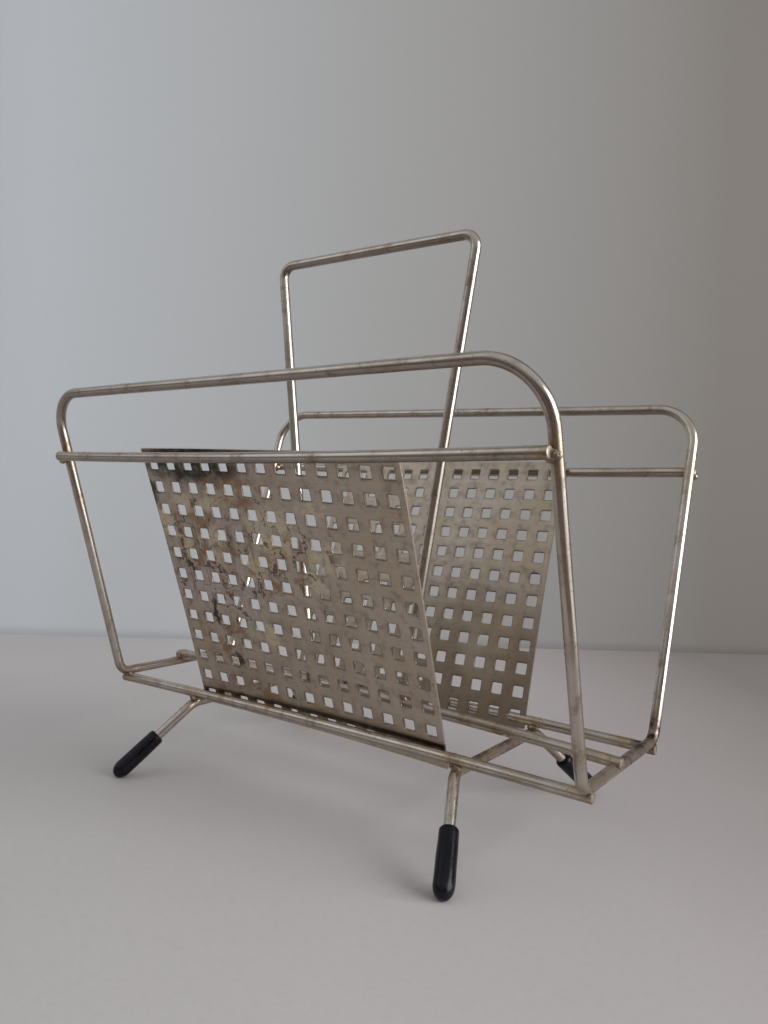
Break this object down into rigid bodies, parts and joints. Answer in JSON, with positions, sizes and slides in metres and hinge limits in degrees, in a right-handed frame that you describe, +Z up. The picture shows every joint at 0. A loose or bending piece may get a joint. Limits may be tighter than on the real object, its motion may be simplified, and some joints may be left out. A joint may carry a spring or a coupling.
{
  "type": "magazine rack",
  "caption": "Free-standing wire magazine rack with a tall central handle, leaning side hoops with perforated metal panels and splayed wire feet in black caps.",
  "frame": {"origin": "middle of the footprint, on the surface the feet stand on", "axes": "+X along the rails, +Y from the near side to the far side, +Z up"},
  "size_m": [0.3072, 0.1976, 0.2986],
  "materials": {
    "wire": "aged nickel plating over round wire, satin, with dark scorched weld spots",
    "panel": "aged satin sheet metal with yellowed lacquer, brown stains and small dark specks",
    "cap": "soft black plastic, satin"
  },
  "bodies": {
    "root": {"frame_loop": "wire", "near_upper_rail": "wire", "far_upper_rail": "wire", "near_bottom_rail": "wire", "far_bottom_rail": "wire", "centre_bottom_rail": "wire", "handle": "wire", "left_leg_wire": "wire", "right_leg_wire": "wire", "near_panel": "panel", "far_panel": "panel", "near_left_foot_cap": "cap", "far_left_foot_cap": "cap", "near_right_foot_cap": "cap", "far_right_foot_cap": "cap"}
  },
  "joints": []
}
